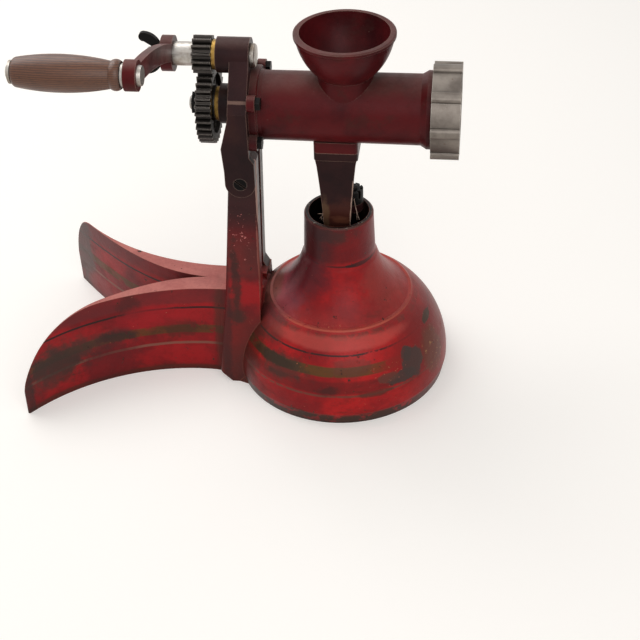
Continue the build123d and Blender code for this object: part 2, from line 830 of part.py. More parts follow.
# ---------------------------------------------------------------- bushes
bush_spots = (("auger_bush", auger_shaft_r, axis_z), ("crank_bush", crank_shaft_r, crank_z))
for name, shaft_r, height in bush_spots:
    with BuildPart() as bush:
        with BuildSketch(facing_front(boss_back_x, height)):
            Circle(shaft_r + run_gap + bush_wall)
            Circle(shaft_r + run_gap, mode=Mode.SUBTRACT)
        extrude(amount=boss_len - 0.2)
        with BuildSketch(facing_front(boss_back_x, height)):
            Circle(shaft_r + bush_wall + 2.5)
            Circle(shaft_r + run_gap, mode=Mode.SUBTRACT)
        extrude(amount=-bush_collar)
    save(bush, name)

# ---------------------------------------------------------------- auger and its gear
with BuildPart() as auger:
    with BuildSketch(Plane.XZ):
        with BuildLine():
            back = yoke_front_x + barrel_back_wall + 1
            shaft_end_x = gear_back_x - shaft_end_len
            Polyline(
                (shaft_end_x, axis_z),
                (shaft_end_x, axis_z + shaft_end_r - 1),
                (shaft_end_x + 1, axis_z + shaft_end_r),
                (gear_back_x, axis_z + shaft_end_r),
                (gear_back_x, axis_z + auger_shaft_r),
                (back, axis_z + auger_shaft_r),
                (back, axis_z + auger_core_r + 4),
                (back + 4, axis_z + auger_core_r + 4),
                (back + 12, axis_z + auger_core_r),
                (knife_x - 2, axis_z + auger_core_r),
                (knife_x - 0.2, axis_z + auger_core_r - 1.5),
                (knife_x - 0.2, axis_z),
                close=True,
            )
        make_face()
    revolve(axis=auger_axis)
    with BuildSketch(facing_front(knife_x - 1, axis_z)):
        Rectangle(tang_w, tang_w)
    extrude(amount=tang_len + 0.5)
    with BuildSketch(facing_front(knife_x, axis_z)):
        Circle(nose_r)
    extrude(amount=barrel_front_x - knife_x - 0.5)
    # Flight: a thread that stands up to the barrel wall
    flight_x = back + 6
    flight_len = knife_x - 4 - flight_x
    with BuildLine(mode=Mode.PRIVATE) as flight_line:
        Helix(auger_pitch, flight_len, auger_core_r, center=(flight_x, 0, axis_z), direction=(1, 0, 0))
    flight_path = flight_line.line
    flight_h = barrel_bore_r - flight_gap - auger_core_r
    out = (flight_path @ 0 - Vector(flight_x, 0, axis_z)).normalized()
    with BuildSketch(Plane(flight_path @ 0, x_dir=out, z_dir=flight_path % 0)):
        with BuildLine():
            Polyline(
                (-1.5, -flight_root / 2),
                (flight_h, -flight_tip / 2),
                (flight_h, flight_tip / 2),
                (-1.5, flight_root / 2),
                close=True,
            )
        make_face()
    sweep(path=flight_path, is_frenet=True)
    # Keyway of the gear
    with BuildSketch(facing_front(gear_back_x, axis_z)):
        with Locations((-auger_shaft_r, 0)):
            Rectangle(key_w, key_w + 2 * run_gap)
    extrude(amount=gear_w, mode=Mode.SUBTRACT)
save(auger, "auger")


def involute_turn(r, base_r):
    """How far an involute has turned at radius r."""
    a = acos(base_r / r)
    return tan(a) - a


def gear_outline(teeth, first_turn):
    """Lines round a spur gear, its first tooth centred at first_turn."""
    pitch_r = gear_module * teeth / 2
    base_r = pitch_r * cos(radians(pressure_angle))
    tip_r = pitch_r + gear_module
    root_r = pitch_r - 1.25 * gear_module
    half_tooth = (pi * gear_module - backlash) / 4 / pitch_r + involute_turn(pitch_r, base_r)

    def at(r, turn):
        return Vector(r * cos(turn), r * sin(turn))

    flank_start = max(base_r, root_r + 0.1)
    flank_mid_r = (flank_start + tip_r) / 2
    for tooth in range(teeth):
        centre = first_turn + 2 * pi * tooth / teeth
        following = centre + 2 * pi / teeth
        turns = [half_tooth - involute_turn(r, base_r) for r in (flank_start, flank_mid_r, tip_r)]
        foot = at(flank_start, centre - turns[0])
        up = ThreePointArc(foot, at(flank_mid_r, centre - turns[1]), at(tip_r, centre - turns[2]))
        land = ThreePointArc(up @ 1, at(tip_r, centre), at(tip_r, centre + turns[2]))
        down = ThreePointArc(land @ 1, at(flank_mid_r, centre + turns[1]), at(flank_start, centre + turns[0]))
        foot_in = Line(down @ 1, at(root_r, centre + turns[0]))
        mid_gap = at(root_r, (centre + following) / 2)
        root = ThreePointArc(foot_in @ 1, mid_gap, at(root_r, following - turns[0]))
        Line(root @ 1, at(flank_start, following - turns[0]))


with BuildPart() as auger_gear:
    hub_r = auger_shaft_r + gear_hub
    rim_in_r = gear_module * gear_teeth / 2 - 1.25 * gear_module - gear_rim
    with BuildSketch(facing_front(gear_back_x, axis_z)):
        with BuildLine():
            gear_outline(gear_teeth, 0)
        make_face()
    extrude(amount=gear_w)
    # Web thinner than the rim, with round lightening holes
    for web_x, depth in ((gear_back_x, gear_web_sink), (gear_x, -gear_web_sink)):
        with BuildSketch(facing_front(web_x, axis_z)):
            Circle(rim_in_r)
            Circle(hub_r, mode=Mode.SUBTRACT)
        extrude(amount=depth, mode=Mode.SUBTRACT)
    with BuildSketch(facing_front(gear_back_x, axis_z)):
        with PolarLocations((rim_in_r + hub_r) / 2, gear_holes, start_angle=36):
            Circle((rim_in_r - hub_r) / 2 - 1)
        Circle(auger_shaft_r + run_gap)
        with Locations((-auger_shaft_r, 0)):
            Rectangle(key_w + 2 * run_gap, key_w + 2 * run_gap)
    extrude(amount=gear_w, mode=Mode.SUBTRACT)
save(auger_gear, "auger_gear")

with BuildPart() as gear_key:
    with BuildSketch(facing_front(gear_back_x, axis_z)):
        with Locations((-auger_shaft_r, 0)):
            Rectangle(key_w, key_w)
    extrude(amount=gear_w)
save(gear_key, "gear_key")

with BuildPart() as gear_nut:
    with BuildSketch(facing_front(gear_back_x, axis_z)):
        Circle(gear_washer_r)
        Circle(shaft_end_r + run_gap, mode=Mode.SUBTRACT)
    extrude(amount=-gear_washer)
    with BuildSketch(facing_front(gear_back_x - gear_washer, axis_z)):
        RegularPolygon(gear_nut_w / 2, 6, major_radius=False)
        Circle(shaft_end_r + run_gap, mode=Mode.SUBTRACT)
    extrude(amount=-gear_nut_h)
save(gear_nut, "gear_nut")

# ---------------------------------------------------------------- knife, plate and ring nut
with BuildSketch() as blade:
    with BuildLine():
        blade_r = barrel_bore_r - flight_gap
        edge = Polyline((tang_w * 0.55, -5.5), (blade_r - 0.6, -2.2), (blade_r, 0))
        sweep_back = ThreePointArc(edge @ 1, (blade_r * 0.66, 1.5), (tang_w * 0.8, 5.5))
        Line(sweep_back @ 1, edge @ 0)
    make_face()

with BuildPart() as knife:
    with BuildSketch(facing_front(knife_x, axis_z)):
        Circle(tang_w)
        with PolarLocations(0, knife_blades):
            add(blade.sketch)
        Rectangle(tang_w + slip_gap, tang_w + slip_gap, mode=Mode.SUBTRACT)
    extrude(amount=knife_thick)
save(knife, "knife")

with BuildPart() as cutter_plate:
    with BuildSketch(facing_front(plate_x, axis_z)):
        Circle(plate_r)
        Circle(nose_r + run_gap, mode=Mode.SUBTRACT)
        with Locations((-plate_r, 0)):
            Circle(plate_pin_d / 2 + run_gap, mode=Mode.SUBTRACT)
        rows = int((barrel_bore_r - plate_hole_d / 2) // plate_hole_step)
        for row in range(1, rows + 1):
            with PolarLocations(row * plate_hole_step, 6 * row):
                Circle(plate_hole_d / 2, mode=Mode.SUBTRACT)
    extrude(amount=plate_thick)
save(cutter_plate, "cutter_plate")

with BuildPart() as plate_pin:
    with BuildSketch(facing_front(plate_x, axis_z)):
        with Locations((-plate_r, 0)):
            Circle(plate_pin_d / 2)
    extrude(amount=plate_thick)
save(plate_pin, "plate_pin")

with BuildPart() as ring_nut:
    ring_in_r = barrel_thread_r + face_gap
    ring_out_r = ring_in_r + ring_wall
    ring_back_x = barrel_front_x + face_gap + ring_lip_thick - ring_len
    with BuildSketch(facing_front(ring_back_x, axis_z)):
        Circle(ring_out_r)
        with PolarLocations(ring_out_r, ring_lugs):
            SlotCenterToCenter(ring_lug_len, ring_lug_w, rotation=90)
    extrude(amount=ring_len)
    front_edges = ring_nut.faces().sort_by(Axis.X)[-1].edges()
    chamfer(front_edges.sort_by(SortBy.LENGTH)[-1:], ring_edge)
    with BuildSketch(facing_front(ring_back_x, axis_z)):
        Circle(ring_in_r)
    extrude(amount=ring_len - ring_lip_thick, mode=Mode.SUBTRACT)
    with BuildSketch(facing_front(ring_back_x, axis_z)):
        Circle(plate_r - ring_lip)
    extrude(amount=ring_len, mode=Mode.SUBTRACT)
save(ring_nut, "ring_nut")

# ---------------------------------------------------------------- crank
crank_face = facing_back(arm_x, crank_z, crank_turn)

with BuildPart() as crank_shaft:
    with BuildSketch(Plane.XZ):
        with BuildLine():
            head_x = yoke_front_x + face_gap
            thread_end_x = arm_back_x - crank_thread_len
            Polyline(
                (thread_end_x, crank_z),
                (thread_end_x, crank_z + crank_thread_r - 1),
                (thread_end_x + 1, crank_z + crank_thread_r),
                (arm_x, crank_z + crank_thread_r),
                (arm_x, crank_z + crank_shaft_r + crank_collar),
                (pinion_back_x, crank_z + crank_shaft_r + crank_collar),
                (pinion_back_x, crank_z + crank_shaft_r),
                (head_x, crank_z + crank_shaft_r),
                (head_x, crank_z + crank_shaft_r + crank_collar),
                (head_x + crank_collar, crank_z + crank_shaft_r + crank_collar),
                (head_x + crank_collar + 1, crank_z + crank_shaft_r + crank_collar - 1),
                (head_x + crank_collar + 1, crank_z),
                close=True,
            )
        make_face()
    revolve(axis=crank_axis)
    with BuildSketch(crank_face):
        Rectangle(tang_w, tang_w)
    extrude(amount=arm_thick - 0.5)
save(crank_shaft, "crank_shaft")

with BuildPart() as pinion:
    with BuildSketch(facing_front(pinion_back_x, crank_z)):
        with BuildLine():
            gear_outline(pinion_teeth, pi / pinion_teeth)
        make_face()
        Circle(crank_shaft_r + run_gap, mode=Mode.SUBTRACT)
    extrude(amount=pinion_w)
save(pinion, "pinion")

with BuildPart() as crank_arm:
    with BuildSketch(crank_face):
        Circle(arm_hub_r)
        with Locations((crank_throw, 0)):
            Circle(arm_end_r)
    extrude(amount=arm_thick)
    # Bowed bar between the hub and the eye, thinner than both
    with BuildSketch(crank_face):
        with BuildLine():
            half = arm_w / 2
            lower = ThreePointArc((0, -half), (crank_throw / 2, arm_bow - half), (crank_throw, -half))
            tie = Line(lower @ 1, (crank_throw, half))
            upper = ThreePointArc(tie @ 1, (crank_throw / 2, arm_bow + half), (0, half))
            Line(upper @ 1, lower @ 0)
        make_face()
    extrude(amount=arm_thick * 0.7)
    with BuildSketch(crank_face):
        Rectangle(tang_w + slip_gap, tang_w + slip_gap)
        with Locations((crank_throw, 0)):
            Circle(spindle_r + run_gap)
    extrude(amount=arm_thick, mode=Mode.SUBTRACT)
save(crank_arm, "crank_arm")

with BuildPart() as wing_nut:
    with BuildSketch(facing_back(arm_back_x, crank_z)):
        Circle(wing_hub_r)
        Circle(crank_thread_r + run_gap, mode=Mode.SUBTRACT)
    extrude(amount=wing_hub_h, taper=8)
    for side in (-1, 1):
        with BuildSketch(side_plane(-wing_thick / 2)):
            with BuildLine():
                root_z = crank_z + side * (crank_thread_r + 1.5)
                wing = ThreePointArc(
                    (arm_back_x - 1, root_z),
                    (arm_back_x - wing_hub_h + 1, crank_z + side * (wing_reach - 2)),
                    (arm_back_x - wing_reach + 4, crank_z + side * wing_reach),
                )
                tip_round = ThreePointArc(
                    wing @ 1,
                    (arm_back_x - wing_reach, crank_z + side * (wing_reach - 4)),
                    (arm_back_x - wing_reach + 4, crank_z + side * (wing_reach - 8)),
                )
                Polyline(tip_round @ 1, (arm_back_x - wing_hub_h + 1, root_z), wing @ 0)
            make_face()
        extrude(amount=-wing_thick)
save(wing_nut, "wing_nut")

spindle_y = -crank_throw * sin(radians(crank_turn))
spindle_z = crank_z + crank_throw * cos(radians(crank_turn))
spindle_axis = Axis((0, spindle_y, spindle_z), (1, 0, 0))
grip_x = arm_back_x - grip_gap
grip_end_x = grip_x - grip_len

with BuildPart() as grip_spindle:
    with BuildSketch(side_plane(spindle_y)):
        with BuildLine():
            bore_z = spindle_z + spindle_r
            collar_z = bore_z + spindle_collar
            end_x = grip_end_x - face_gap
            Polyline(
                (arm_x + grip_gap, spindle_z),
                (arm_x + grip_gap, collar_z - 1.5),
                (arm_x, collar_z - 1),
                (arm_x, bore_z),
                (arm_back_x, bore_z),
                (arm_back_x, collar_z),
                (grip_x + face_gap, collar_z),
                (grip_x + face_gap, bore_z),
                (end_x, bore_z),
                (end_x, collar_z),
                (end_x - spindle_collar / 2, collar_z),
                (end_x - spindle_collar, bore_z),
                (end_x - spindle_collar, spindle_z),
                close=True,
            )
        make_face()
    revolve(axis=spindle_axis)
save(grip_spindle, "grip_spindle")

with BuildPart() as grip:
    with BuildSketch(side_plane(spindle_y)):
        with BuildLine():
            bead_z = spindle_z + grip_end_r
            bead = ThreePointArc((grip_x, bead_z), (grip_x - 4, bead_z + 1.5), (grip_x - 8, bead_z))
            belly = ThreePointArc(
                bead @ 1, (grip_x - grip_len * 0.6, spindle_z + grip_r), (grip_end_x + 3, bead_z + 1)
            )
            end_round = ThreePointArc(belly @ 1, (grip_end_x + 0.8, bead_z - 0.5), (grip_end_x, bead_z - 2.5))
            bore_z = spindle_z + spindle_r + face_gap
            Polyline(end_round @ 1, (grip_end_x, bore_z), (grip_x, bore_z), bead @ 0)
        make_face()
    revolve(axis=spindle_axis)
save(grip, "grip")
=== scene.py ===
"""Looks of the hand crank meat grinder: worn paint, iron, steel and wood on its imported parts."""

from math import cos, pi, radians, sin

import bmesh
import bpy
from mathutils import Matrix, Vector


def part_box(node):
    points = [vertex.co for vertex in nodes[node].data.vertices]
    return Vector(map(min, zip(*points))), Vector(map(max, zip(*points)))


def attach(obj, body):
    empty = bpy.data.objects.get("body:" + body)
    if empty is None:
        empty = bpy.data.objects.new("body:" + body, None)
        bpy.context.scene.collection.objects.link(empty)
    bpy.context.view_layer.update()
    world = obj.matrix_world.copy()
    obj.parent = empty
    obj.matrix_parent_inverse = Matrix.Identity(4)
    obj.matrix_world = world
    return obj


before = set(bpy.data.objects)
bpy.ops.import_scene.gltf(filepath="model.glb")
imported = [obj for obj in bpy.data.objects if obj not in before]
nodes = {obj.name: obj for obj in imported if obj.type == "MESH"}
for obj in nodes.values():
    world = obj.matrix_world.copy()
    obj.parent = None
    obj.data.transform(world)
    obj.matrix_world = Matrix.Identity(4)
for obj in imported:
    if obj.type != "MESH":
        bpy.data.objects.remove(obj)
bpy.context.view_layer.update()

scene = bpy.context.scene

# ---------------------------------------------------------------- helpers for node trees


def add(tree, kind, inputs=None, **settings):
    """Adds a node. Its inputs are given by name or number, as a value or as a socket to link."""
    node = tree.nodes.new(kind)
    for name, value in settings.items():
        setattr(node, name, value)
    for key, value in (inputs or {}).items():
        socket = node.inputs[key]
        if isinstance(value, bpy.types.NodeSocket):
            tree.links.new(value, socket)
        else:
            socket.default_value = value
    return node


def maths(tree, operation, a, b, clamp):
    return add(tree, "ShaderNodeMath", {0: a, 1: b}, operation=operation, use_clamp=clamp).outputs[0]


def times(tree, a, b, clamp=False):
    return maths(tree, "MULTIPLY", a, b, clamp)


def plus(tree, a, b, clamp=False):
    return maths(tree, "ADD", a, b, clamp)


def minus(tree, a, b):
    return maths(tree, "SUBTRACT", a, b, False)


def mix(tree, mask, under, over):
    """Colour `over` where the mask is 1, `under` where it is 0."""
    node = add(tree, "ShaderNodeMix", {0: mask, 6: under, 7: over}, data_type="RGBA")
    return node.outputs[2]


def level(tree, mask, low, high):
    """A number that goes from low to high with the mask."""
    return add(tree, "ShaderNodeMapRange", {"Value": mask, "To Min": low, "To Max": high}).outputs[0]


def step(tree, value, start, end):
    """0 below start, 1 above end, smooth between."""
    inputs = {"Value": value, "From Min": start, "From Max": end}
    node = add(tree, "ShaderNodeMapRange", inputs, interpolation_type="SMOOTHSTEP")
    return node.outputs[0]


def noise(tree, scale, detail=4.0, roughness=0.55, at=None, distortion=0.0):
    inputs = {"Scale": scale, "Detail": detail, "Roughness": roughness, "Distortion": distortion}
    inputs["Vector"] = at if at is not None else place(tree)
    return add(tree, "ShaderNodeTexNoise", inputs).outputs["Fac"]


def place(tree):
    """The point on the object, in its own metres."""
    return add(tree, "ShaderNodeTexCoord").outputs["Object"]


def rgb(red, green, blue):
    """A screen colour from 0 to 255 as the linear colour that a shader takes."""
    def linear(c):
        c = c / 255
        return c / 12.92 if c <= 0.04045 else ((c + 0.055) / 1.055) ** 2.4
    return (linear(red), linear(green), linear(blue), 1.0)


def new_group(name, inputs, outputs):
    """A shader node group. Inputs are name: default, and outputs are names of values."""
    tree = bpy.data.node_groups.new(name, "ShaderNodeTree")
    for key, default in inputs.items():
        kind = "NodeSocketVector" if isinstance(default, tuple) else "NodeSocketFloat"
        socket = tree.interface.new_socket(key, in_out="INPUT", socket_type=kind)
        socket.default_value = default
    for key in outputs:
        tree.interface.new_socket(key, in_out="OUTPUT", socket_type="NodeSocketFloat")
    given = tree.nodes.new("NodeGroupInput").outputs
    taken = tree.nodes.new("NodeGroupOutput").inputs
    return tree, given, taken


def use(tree, group, **inputs):
    """Places a group in a material; underscores in the names stand for spaces."""
    node = tree.nodes.new("ShaderNodeGroup")
    node.node_tree = group
    for key, value in inputs.items():
        socket = node.inputs[key.replace("_", " ")]
        if isinstance(value, bpy.types.NodeSocket):
            tree.links.new(value, socket)
        else:
            socket.default_value = value
    return node.outputs


# ---------------------------------------------------------------- shared effects


def make_edge_wear():
    """Mask of the edges that hands and cloths rub, broken up by noise."""
    tree, given, taken = new_group("edge wear", {"Radius": 0.002, "Amount": 0.5, "Scale": 120.0}, ["Mask"])
    rounded = add(tree, "ShaderNodeBevel", {"Radius": given["Radius"]}, samples=6).outputs[0]
    normal = add(tree, "ShaderNodeNewGeometry").outputs["Normal"]
    dot = add(tree, "ShaderNodeVectorMath", {0: rounded, 1: normal}, operation="DOT_PRODUCT")
    bend = minus(tree, 1.0, dot.outputs["Value"])
    broken = noise(tree, given["Scale"], 5.0, 0.65)
    reach = times(tree, bend, 6.0, clamp=True)
    shaped = plus(tree, times(tree, reach, 0.6), times(tree, broken, 0.6))
    limit = minus(tree, 0.98, times(tree, given["Amount"], 0.5))
    found = step(tree, shaped, limit, plus(tree, limit, 0.06))
    tree.links.new(times(tree, found, step(tree, reach, 0.02, 0.15)), taken["Mask"])
    return tree


def make_chipping():
    """Mask of ragged chips; Amount 0 is none and 1 is everywhere."""
    inputs = {"Scale": 60.0, "Amount": 0.3, "Stretch": (1.0, 1.0, 1.0), "Softness": 0.02}
    tree, given, taken = new_group("chipping", inputs, ["Mask"])
    at = add(tree, "ShaderNodeVectorMath", {0: place(tree), 1: given["Stretch"]}, operation="MULTIPLY")
    found = noise(tree, given["Scale"], 8.0, 0.62, at.outputs[0])
    limit = minus(tree, 0.78, times(tree, given["Amount"], 0.55))
    tree.links.new(step(tree, found, limit, plus(tree, limit, given["Softness"])), taken["Mask"])
    return tree


def make_stripe():
    """Mask of a painted stripe at one height, with a wavering brush line and worn gaps."""
    inputs = {"Low": 0.0, "High": 0.01, "Waver": 0.001, "Gaps": 0.3, "Softness": 0.0006}
    tree, given, taken = new_group("stripe", inputs, ["Mask"])
    height = add(tree, "ShaderNodeSeparateXYZ", {0: place(tree)}).outputs["Z"]
    drift = minus(tree, noise(tree, 22.0, 3.0), 0.5)
    waver = times(tree, given["Waver"], 4.0)
    shifted = plus(tree, height, times(tree, drift, waver))
    above = step(tree, shifted, given["Low"], plus(tree, given["Low"], given["Softness"]))
    below = step(tree, shifted, given["High"], plus(tree, given["High"], given["Softness"]))
    band = minus(tree, above, below)
    kept = step(tree, noise(tree, 75.0, 7.0, 0.68), given["Gaps"], plus(tree, given["Gaps"], 0.08))
    tree.links.new(times(tree, band, kept), taken["Mask"])
    return tree


def make_patch():
    """Mask of one ragged patch round a place."""
    inputs = {"Place": (0.0, 0.0, 0.0), "Size": (0.01, 0.01, 0.01), "Ragged": 0.6, "Softness": 0.1}
    tree, given, taken = new_group("patch", inputs, ["Mask"])
    away = add(tree, "ShaderNodeVectorMath", {0: place(tree), 1: given["Place"]}, operation="SUBTRACT")
    scaled = add(tree, "ShaderNodeVectorMath", {0: away.outputs[0], 1: given["Size"]}, operation="DIVIDE")
    reach = add(tree, "ShaderNodeVectorMath", {0: scaled.outputs[0]}, operation="LENGTH").outputs["Value"]
    drift = minus(tree, noise(tree, 95.0, 6.0, 0.65), 0.5)
    rough = times(tree, drift, given["Ragged"])
    edge = plus(tree, reach, times(tree, rough, 4.0))
    inside = minus(tree, 1.0, step(tree, edge, 1.0, plus(tree, 1.0, given["Softness"])))
    tree.links.new(inside, taken["Mask"])
    return tree


def make_dust_and_sheen():
    """Mask of dust and rubbed film on faces turned upwards, which also paints the sheen of the light from
    above.
    """
    tree, given, taken = new_group("settled dust and sheen", {"Amount": 0.5, "Steep": 0.5}, ["Mask"])
    normal = add(tree, "ShaderNodeTexCoord").outputs["Normal"]
    up = add(tree, "ShaderNodeSeparateXYZ", {0: normal}).outputs["Z"]
    lying = step(tree, up, given["Steep"], 1.0)
    cloudy = step(tree, noise(tree, 38.0, 5.0, 0.6), 0.25, 0.7)
    fine = level(tree, noise(tree, 420.0, 3.0, 0.6), 0.6, 1.2)
    mask = times(tree, times(tree, lying, level(tree, cloudy, 0.55, 1.0)), fine)
    tree.links.new(times(tree, mask, given["Amount"], clamp=True), taken["Mask"])
    return tree


def make_corner_shade_and_grime():
    """Mask of dark dirt that gathers in corners, and of painted shade that falls there."""
    tree, given, taken = new_group("corner shade and grime", {"Reach": 0.012, "Amount": 0.6}, ["Mask"])
    open_sky = add(tree, "ShaderNodeAmbientOcclusion", {"Distance": given["Reach"]}, samples=6).outputs["AO"]
    shut = minus(tree, 1.0, open_sky)
    cloudy = level(tree, noise(tree, 90.0, 5.0, 0.6), 0.4, 1.5)
    spread = times(tree, times(tree, shut, cloudy), given["Amount"], clamp=True)
    tree.links.new(spread, taken["Mask"])
    return tree


def make_casting_skin():
    """Height of a sand-cast and brush-painted skin: fine grain, small pits and slow dents."""
    tree, given, taken = new_group("casting skin", {"Grain": 1.0, "Dents": 1.0}, ["Height"])
    fine = times(tree, noise(tree, 900.0, 3.0, 0.6), times(tree, given["Grain"], 0.25))
    pits = step(tree, noise(tree, 330.0, 2.0, 0.5), 0.68, 0.8)
    pits = times(tree, pits, times(tree, given["Grain"], -0.35))
    slow = times(tree, noise(tree, 60.0, 3.0, 0.5), times(tree, given["Dents"], 1.2))
    tree.links.new(plus(tree, plus(tree, fine, pits), slow), taken["Height"])
    return tree


edge_wear = make_edge_wear()
chipping = make_chipping()
stripe = make_stripe()
patch = make_patch()
dust_and_sheen = make_dust_and_sheen()
shade_and_grime = make_corner_shade_and_grime()
casting_skin = make_casting_skin()

# ---------------------------------------------------------------- materials


def new_material(name):
    """A material with its node tree and its shader."""
    material = bpy.data.materials.new(name)
    material.use_nodes = True
    tree = material.node_tree
    shader = tree.nodes["Principled BSDF"]
    return material, tree, shader


def set_surface(tree, shader, colour, roughness, height, distance=0.0004):
    """Joins colour, roughness and a bump height to the shader."""
    tree.links.new(colour, shader.inputs["Base Color"])
    tree.links.new(roughness, shader.inputs["Roughness"])
    bump = add(tree, "ShaderNodeBump", {"Height": height, "Distance": distance, "Strength": 1.0})
    tree.links.new(bump.outputs[0], shader.inputs["Normal"])


def blotted(tree, colour, patches):
    """Lays ragged patches over a colour: place, size, raggedness, softness, colour and strength."""
    for spot, size, ragged, softness, ink, strength in patches:
        mask = use(tree, patch, Place=spot, Size=size, Ragged=ragged, Softness=softness)["Mask"]
        colour = mix(tree, times(tree, mask, strength), colour, ink)
    return colour


def worn_red(name, reds, stripes, patches, flecks, dust_and_sheen_colour, dust_and_sheen_amount, brown=0.35, last=()):
    """Old brushed red enamel on cast iron, worn through to a brown undercoat and grey iron.

    A stripe is low, high, waver, gaps, softness, colour and strength. A fleck is place, size,
    scale, amount and colour. The film is dust with a painted sheen on faces turned up to the light; it lies
    over the stripes and patches, and last over the film.
    """
    material, tree, shader = new_material(name)
    shader.inputs["Specular IOR Level"].default_value = 0.2
    cloud = noise(tree, 16.0, 4.0, 0.6)
    red = mix(tree, step(tree, cloud, 0.38, 0.62), *reds)
    fine = noise(tree, 240.0, 5.0, 0.7)
    red = mix(tree, times(tree, step(tree, fine, 0.45, 0.75), 0.35), red, rgb(96, 14, 16))
    # Rubbed areas where the brown undercoat comes near the surface
    along = add(tree, "ShaderNodeMapping", {"Vector": place(tree), "Scale": (1.0, 1.0, 2.4)}).outputs[0]
    rubbed = noise(tree, 26.0, 9.0, 0.68, along, 0.4)
    rubbed = step(tree, rubbed, 0.62 - brown * 0.3, 0.72)
    colour = mix(tree, times(tree, rubbed, 0.7), red, rgb(82, 26, 20))
    for low, high, waver, gaps, softness, ink, strength in stripes:
        mask = use(tree, stripe, Low=low, High=high, Waver=waver, Gaps=gaps, Softness=softness)["Mask"]
        colour = mix(tree, times(tree, mask, strength), colour, ink)
    colour = blotted(tree, colour, patches)
    # Dust, with a painted sheen where faces turn up to the light
    lying = use(tree, dust_and_sheen, Amount=dust_and_sheen_amount, Steep=0.55)["Mask"]
    colour = mix(tree, lying, colour, dust_and_sheen_colour)
    colour = blotted(tree, colour, last)
    # Small chips, then edges, then painted shade and dirt in corners
    small = use(tree, chipping, Scale=150.0, Amount=0.21, Softness=0.02)["Mask"]
    colour = mix(tree, small, colour, rgb(62, 36, 28))
    specks = use(tree, chipping, Scale=420.0, Amount=0.15, Softness=0.03)["Mask"]
    colour = mix(tree, times(tree, specks, 0.7), colour, rgb(188, 110, 90))
    for spot, size, scale, amount, ink in flecks:
        near = use(tree, patch, Place=spot, Size=size, Ragged=0.2, Softness=0.6)["Mask"]
        chips = use(tree, chipping, Scale=scale, Amount=amount, Softness=0.03)["Mask"]
        colour = mix(tree, times(tree, near, chips), colour, ink)
    edges = use(tree, edge_wear, Radius=0.0016, Amount=0.55, Scale=130.0)["Mask"]
    colour = mix(tree, times(tree, edges, 0.6), colour, rgb(150, 84, 68))
    shade_and_dirt = use(tree, shade_and_grime, Reach=0.014, Amount=0.9)["Mask"]
    colour = mix(tree, shade_and_dirt, colour, rgb(46, 27, 20))
    roughness = level(tree, plus(tree, times(tree, rubbed, 0.5), lying), 0.36, 0.66)
    height = use(tree, casting_skin, Grain=1.0, Dents=1.0)["Height"]
    height = minus(tree, height, times(tree, small, 0.5))
    set_surface(tree, shader, colour, roughness, height)
    return material


def worn_maroon(name, dark, light, patches=(), edge=rgb(146, 116, 104), dust_and_sheen_amount=0.35):
    """The darker brown-maroon paint of the head, post and cheeks."""
    material, tree, shader = new_material(name)
    shader.inputs["Specular IOR Level"].default_value = 0.1
    cloud = noise(tree, 20.0, 4.0, 0.6)
    colour = mix(tree, step(tree, cloud, 0.3, 0.7), dark, light)
    rubbed = step(tree, noise(tree, 42.0, 8.0, 0.66, distortion=0.3), 0.52, 0.7)
    colour = mix(tree, times(tree, rubbed, 0.5), colour, rgb(58, 36, 31))
    colour = blotted(tree, colour, patches)
    small = use(tree, chipping, Scale=170.0, Amount=0.12, Softness=0.015)["Mask"]
    colour = mix(tree, times(tree, small, 0.7), colour, rgb(104, 80, 72))
    edges = use(tree, edge_wear, Radius=0.0014, Amount=0.5, Scale=140.0)["Mask"]
    colour = mix(tree, times(tree, edges, 0.65), colour, edge)
    # Painted shade and dirt in corners
    shade_and_dirt = use(tree, shade_and_grime, Reach=0.012, Amount=0.8)["Mask"]
    colour = mix(tree, shade_and_dirt, colour, rgb(24, 17, 15))
    # Dust, with a painted sheen where faces turn up to the light
    lying = use(tree, dust_and_sheen, Amount=dust_and_sheen_amount, Steep=0.6)["Mask"]
    colour = mix(tree, lying, colour, rgb(138, 108, 100))
    roughness = level(tree, plus(tree, times(tree, rubbed, 0.5), lying), 0.34, 0.62)
    height = use(tree, casting_skin, Grain=1.0, Dents=0.8)["Height"]
    set_surface(tree, shader, colour, roughness, height)
    return material


def iron(name, dark, light, bare, metal, rough, gloss=0.5, grain=1.0):
    """Unpainted iron: black, worn by hands, or greasy."""
    material, tree, shader = new_material(name)
    shader.inputs["Metallic"].default_value = metal
    shader.inputs["Specular IOR Level"].default_value = gloss
    cloud = noise(tree, 45.0, 6.0, 0.65)
    colour = mix(tree, step(tree, cloud, 0.3, 0.7), dark, light)
    small = use(tree, chipping, Scale=210.0, Amount=0.2, Softness=0.05)["Mask"]
    colour = mix(tree, times(tree, small, 0.6), colour, rgb(84, 50, 34))
    edges = use(tree, edge_wear, Radius=0.0009, Amount=0.6, Scale=220.0)["Mask"]
    colour = mix(tree, edges, colour, bare)
    # Painted shade and dirt in corners
    shade_and_dirt = use(tree, shade_and_grime, Reach=0.006, Amount=0.7)["Mask"]
    colour = mix(tree, shade_and_dirt, colour, rgb(20, 16, 14))
    roughness = level(tree, plus(tree, cloud, times(tree, small, 0.4)), rough - 0.12, rough + 0.14)
    height = use(tree, casting_skin, Grain=grain, Dents=0.4)["Height"]
    set_surface(tree, shader, colour, roughness, height, 0.00025)
    return material


